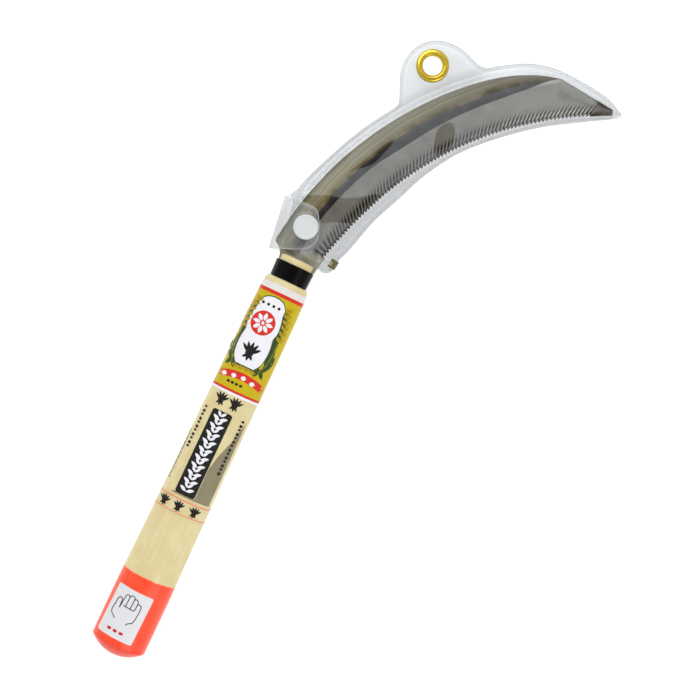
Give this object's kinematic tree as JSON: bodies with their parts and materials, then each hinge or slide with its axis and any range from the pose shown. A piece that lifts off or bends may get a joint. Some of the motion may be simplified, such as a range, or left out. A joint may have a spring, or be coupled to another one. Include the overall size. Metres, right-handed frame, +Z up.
{
  "type": "hand sickle",
  "caption": "Left-handed saw-toothed hand sickle: curved steel blade in an oval wooden handle, in a clear vinyl snap-closed sheath with a hanging eyelet.",
  "frame": {"origin": "middle of the footprint, on the flat surface that the sickle lies on", "axes": "+Y along the handle from the butt to the blade, +X to the cutting side, +Z up from the surface it lies on, with the blade's ground face upwards; the handle and blade are rolled 3.59 degrees about Y and pitched 0.62 degrees about X, as they lie"},
  "size_m": [0.132, 0.3506, 0.0243],
  "materials": {
    "wood": "pale, fine-grained, planed, with an orange-red painted butt",
    "blade_steel": "ground, with a brown oxide band along the spine",
    "black_enamel": "gloss black",
    "pin_steel": "plain",
    "printed_film": "clear film with a printed pattern",
    "sticker_paper": "satin white",
    "clear_vinyl": "clear, soft and slightly cloudy",
    "brass": "bright",
    "clip_metal": "dull",
    "white_plastic": "satin white"
  },
  "bodies": {
    "sickle": {"handle": "wood", "blade": "blade_steel", "ferrule": "black_enamel", "tang_pin": "pin_steel", "label_film": "printed_film", "hand_sticker": "sticker_paper"},
    "sheath": {"sheath_front": "clear_vinyl", "sheath_back": "clear_vinyl", "eyelet": "brass", "eyelet_washer": "brass", "mouth_clip": "clip_metal", "snap_post": "white_plastic", "snap_stud": "white_plastic"},
    "strap": {"closure_strap": "clear_vinyl", "snap_socket": "white_plastic", "snap_cap": "white_plastic"}
  },
  "joints": [
    {"name": "sheath_off", "type": "hinge", "parent": "sickle", "child": "sheath", "pos_m": [0.11096, 0.02374, 0.0003], "axis": [-0.0626, -0.0108, -0.998], "range_deg": [0, 75]},
    {"name": "strap_open", "type": "hinge", "parent": "sheath", "child": "strap", "pos_m": [-0.06404, 0.04965, 0.011], "axis": [0.1332, -0.9911, 0.0024], "range_deg": [0, 170]}
  ]
}
